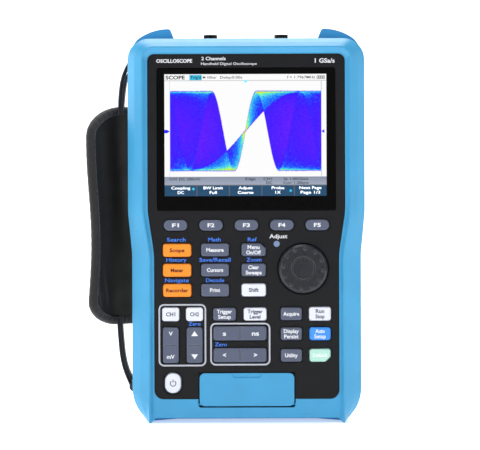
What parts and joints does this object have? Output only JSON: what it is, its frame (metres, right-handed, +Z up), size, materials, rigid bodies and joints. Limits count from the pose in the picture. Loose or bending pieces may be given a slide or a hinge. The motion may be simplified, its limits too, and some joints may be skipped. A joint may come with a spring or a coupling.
{
  "type": "handheld oscilloscope",
  "caption": "Portable instrument with a colour screen above a keypad, turning dial, guarded input sockets on top, terminals behind a lid, hand strap and fold-out stand.",
  "frame": {"origin": "centre of the base, on the surface that the foot runners stand on", "axes": "+Z up, the screen faces -Y, +X to the right seen from the front"},
  "size_m": [0.1952, 0.0682, 0.2755],
  "materials": {
    "blue_frame": "satin moulded",
    "blue_guard": "matte moulded",
    "black_panel": "fine matte",
    "dark_cover": "spark-eroded texture",
    "seal_rubber": "matte",
    "steel": "plated",
    "pack_wrap": "shrink film",
    "window_glass": "gloss",
    "display_frame": "sheet",
    "key_silicone": "matte",
    "circuit_board": "solder mask",
    "black_socket": "moulded",
    "red_socket": "moulded",
    "dial_grey": "soft matte",
    "strap_fabric": "knitted face over foam",
    "strap_webbing": "woven",
    "nickel": "nickel plate",
    "insulator": "moulded",
    "lamp_lens": "clear diffused",
    "key_grey": "silicone matte",
    "key_orange": "silicone matte",
    "key_white": "silicone matte",
    "key_blue": "silicone matte",
    "key_mint": "silicone matte"
  },
  "bodies": {
    "casing": {"front_bezel": "blue_frame", "bumper": "blue_guard", "front_panel": "black_panel", "rear_cover": "dark_cover", "casing_seal": "seal_rubber", "casing_screws": "steel", "battery_door_screws": "steel", "rear_feet": "seal_rubber", "battery_door": "dark_cover", "battery_pack": "pack_wrap", "screen_window": "window_glass", "lcd_module": "display_frame", "keypad_mat": "key_silicone", "keypad_board": "circuit_board", "main_board": "circuit_board", "usb_ports": "steel", "dc_jack": "black_socket", "strap_pad": "strap_fabric", "strap_webbing": "strap_webbing", "meter_sockets_red": "red_socket", "meter_socket_black": "black_socket", "bnc_shells": "nickel", "bnc_contacts": "insulator", "encoder_body": "black_socket", "adjust_lamp": "lamp_lens"},
    "kickstand": {"kickstand": "dark_cover"},
    "terminal_door": {"terminal_door": "blue_frame"},
    "side_cover": {"side_cover": "seal_rubber"},
    "dial_sleeve": {"dial_plunger": "black_socket"},
    "dial": {"dial": "dial_grey", "encoder_shaft": "steel"},
    "rocker_volts": {"rocker_volts": "key_grey"},
    "rocker_position": {"rocker_position": "key_grey"},
    "rocker_time": {"rocker_time": "key_grey"},
    "rocker_horizontal": {"rocker_horizontal": "key_grey"},
    "key_f1": {"key_f1": "key_grey"},
    "key_f2": {"key_f2": "key_grey"},
    "key_f3": {"key_f3": "key_grey"},
    "key_f4": {"key_f4": "key_grey"},
    "key_f5": {"key_f5": "key_grey"},
    "key_scope": {"key_scope": "key_orange"},
    "key_meter": {"key_meter": "key_orange"},
    "key_recorder": {"key_recorder": "key_orange"},
    "key_measure": {"key_measure": "key_grey"},
    "key_cursors": {"key_cursors": "key_grey"},
    "key_print": {"key_print": "key_grey"},
    "key_menu": {"key_menu": "key_grey"},
    "key_clear": {"key_clear": "key_grey"},
    "key_shift": {"key_shift": "key_white"},
    "key_channel_1": {"key_channel_1": "key_white"},
    "key_channel_2": {"key_channel_2": "key_white"},
    "key_trigger_setup": {"key_trigger_setup": "key_grey"},
    "key_trigger_level": {"key_trigger_level": "key_white"},
    "key_acquire": {"key_acquire": "key_grey"},
    "key_display": {"key_display": "key_grey"},
    "key_utility": {"key_utility": "key_grey"},
    "key_run_stop": {"key_run_stop": "key_white"},
    "key_auto_setup": {"key_auto_setup": "key_blue"},
    "key_default": {"key_default": "key_mint"},
    "key_power": {"key_power": "key_white"}
  },
  "joints": [
    {"name": "kickstand_hinge", "type": "hinge", "parent": "casing", "child": "kickstand", "pos_m": [0, 0.0268, 0.15], "axis": [1, 0, 0], "range_deg": [0, 34]},
    {"name": "terminal_door_hinge", "type": "hinge", "parent": "casing", "child": "terminal_door", "pos_m": [0, -0.0258, 0.0129], "axis": [1, 0, 0], "range_deg": [0, 95]},
    {"name": "side_cover_hinge", "type": "hinge", "parent": "casing", "child": "side_cover", "pos_m": [0.0784, -0.0039, 0.188], "axis": [0, 0, 1], "range_deg": [0, 100]},
    {"name": "dial_press", "type": "slide", "parent": "casing", "child": "dial_sleeve", "axis": [0, 1, 0], "range_m": [0, 0.0006], "stiffness_N_per_m": 900, "springref_m": -0.0006},
    {"name": "dial_turn", "type": "hinge", "parent": "dial_sleeve", "child": "dial", "pos_m": [0.0394, -0.027, 0.1073], "axis": [0, 1, 0], "continuous": true},
    {"name": "rocker_volts_tip", "type": "hinge", "parent": "casing", "child": "rocker_volts", "pos_m": [-0.053, -0.0262, 0.0543], "axis": [1, 0, 0], "range_deg": [-3, 3], "stiffness_Nm_per_rad": 0.3},
    {"name": "rocker_position_tip", "type": "hinge", "parent": "casing", "child": "rocker_position", "pos_m": [-0.0364, -0.0262, 0.0543], "axis": [1, 0, 0], "range_deg": [-3, 3], "stiffness_Nm_per_rad": 0.3},
    {"name": "rocker_time_tip", "type": "hinge", "parent": "casing", "child": "rocker_time", "pos_m": [-0.0048, -0.0262, 0.0624], "axis": [0, 0, 1], "range_deg": [-3, 3], "stiffness_Nm_per_rad": 0.3},
    {"name": "rocker_horizontal_tip", "type": "hinge", "parent": "casing", "child": "rocker_horizontal", "pos_m": [-0.0048, -0.0262, 0.0473], "axis": [0, 0, 1], "range_deg": [-3, 3], "stiffness_Nm_per_rad": 0.3},
    {"name": "key_f1_press", "type": "slide", "parent": "casing", "child": "key_f1", "axis": [0, 1, 0], "range_m": [0, 0.0008], "stiffness_N_per_m": 900, "springref_m": -0.0006},
    {"name": "key_f2_press", "type": "slide", "parent": "casing", "child": "key_f2", "axis": [0, 1, 0], "range_m": [0, 0.0008], "stiffness_N_per_m": 900, "springref_m": -0.0006},
    {"name": "key_f3_press", "type": "slide", "parent": "casing", "child": "key_f3", "axis": [0, 1, 0], "range_m": [0, 0.0008], "stiffness_N_per_m": 900, "springref_m": -0.0006},
    {"name": "key_f4_press", "type": "slide", "parent": "casing", "child": "key_f4", "axis": [0, 1, 0], "range_m": [0, 0.0008], "stiffness_N_per_m": 900, "springref_m": -0.0006},
    {"name": "key_f5_press", "type": "slide", "parent": "casing", "child": "key_f5", "axis": [0, 1, 0], "range_m": [0, 0.0008], "stiffness_N_per_m": 900, "springref_m": -0.0006},
    {"name": "key_scope_press", "type": "slide", "parent": "casing", "child": "key_scope", "axis": [0, 1, 0], "range_m": [0, 0.0008], "stiffness_N_per_m": 900, "springref_m": -0.0006},
    {"name": "key_meter_press", "type": "slide", "parent": "casing", "child": "key_meter", "axis": [0, 1, 0], "range_m": [0, 0.0008], "stiffness_N_per_m": 900, "springref_m": -0.0006},
    {"name": "key_recorder_press", "type": "slide", "parent": "casing", "child": "key_recorder", "axis": [0, 1, 0], "range_m": [0, 0.0008], "stiffness_N_per_m": 900, "springref_m": -0.0006},
    {"name": "key_measure_press", "type": "slide", "parent": "casing", "child": "key_measure", "axis": [0, 1, 0], "range_m": [0, 0.0008], "stiffness_N_per_m": 900, "springref_m": -0.0006},
    {"name": "key_cursors_press", "type": "slide", "parent": "casing", "child": "key_cursors", "axis": [0, 1, 0], "range_m": [0, 0.0008], "stiffness_N_per_m": 900, "springref_m": -0.0006},
    {"name": "key_print_press", "type": "slide", "parent": "casing", "child": "key_print", "axis": [0, 1, 0], "range_m": [0, 0.0008], "stiffness_N_per_m": 900, "springref_m": -0.0006},
    {"name": "key_menu_press", "type": "slide", "parent": "casing", "child": "key_menu", "axis": [0, 1, 0], "range_m": [0, 0.0008], "stiffness_N_per_m": 900, "springref_m": -0.0006},
    {"name": "key_clear_press", "type": "slide", "parent": "casing", "child": "key_clear", "axis": [0, 1, 0], "range_m": [0, 0.0008], "stiffness_N_per_m": 900, "springref_m": -0.0006},
    {"name": "key_shift_press", "type": "slide", "parent": "casing", "child": "key_shift", "axis": [0, 1, 0], "range_m": [0, 0.0008], "stiffness_N_per_m": 900, "springref_m": -0.0006},
    {"name": "key_channel_1_press", "type": "slide", "parent": "casing", "child": "key_channel_1", "axis": [0, 1, 0], "range_m": [0, 0.0008], "stiffness_N_per_m": 900, "springref_m": -0.0006},
    {"name": "key_channel_2_press", "type": "slide", "parent": "casing", "child": "key_channel_2", "axis": [0, 1, 0], "range_m": [0, 0.0008], "stiffness_N_per_m": 900, "springref_m": -0.0006},
    {"name": "key_trigger_setup_press", "type": "slide", "parent": "casing", "child": "key_trigger_setup", "axis": [0, 1, 0], "range_m": [0, 0.0008], "stiffness_N_per_m": 900, "springref_m": -0.0006},
    {"name": "key_trigger_level_press", "type": "slide", "parent": "casing", "child": "key_trigger_level", "axis": [0, 1, 0], "range_m": [0, 0.0008], "stiffness_N_per_m": 900, "springref_m": -0.0006},
    {"name": "key_acquire_press", "type": "slide", "parent": "casing", "child": "key_acquire", "axis": [0, 1, 0], "range_m": [0, 0.0008], "stiffness_N_per_m": 900, "springref_m": -0.0006},
    {"name": "key_display_press", "type": "slide", "parent": "casing", "child": "key_display", "axis": [0, 1, 0], "range_m": [0, 0.0008], "stiffness_N_per_m": 900, "springref_m": -0.0006},
    {"name": "key_utility_press", "type": "slide", "parent": "casing", "child": "key_utility", "axis": [0, 1, 0], "range_m": [0, 0.0008], "stiffness_N_per_m": 900, "springref_m": -0.0006},
    {"name": "key_run_stop_press", "type": "slide", "parent": "casing", "child": "key_run_stop", "axis": [0, 1, 0], "range_m": [0, 0.0008], "stiffness_N_per_m": 900, "springref_m": -0.0006},
    {"name": "key_auto_setup_press", "type": "slide", "parent": "casing", "child": "key_auto_setup", "axis": [0, 1, 0], "range_m": [0, 0.0008], "stiffness_N_per_m": 900, "springref_m": -0.0006},
    {"name": "key_default_press", "type": "slide", "parent": "casing", "child": "key_default", "axis": [0, 1, 0], "range_m": [0, 0.0008], "stiffness_N_per_m": 900, "springref_m": -0.0006},
    {"name": "key_power_press", "type": "slide", "parent": "casing", "child": "key_power", "axis": [0, 1, 0], "range_m": [0, 0.0008], "stiffness_N_per_m": 900, "springref_m": -0.0006}
  ]
}
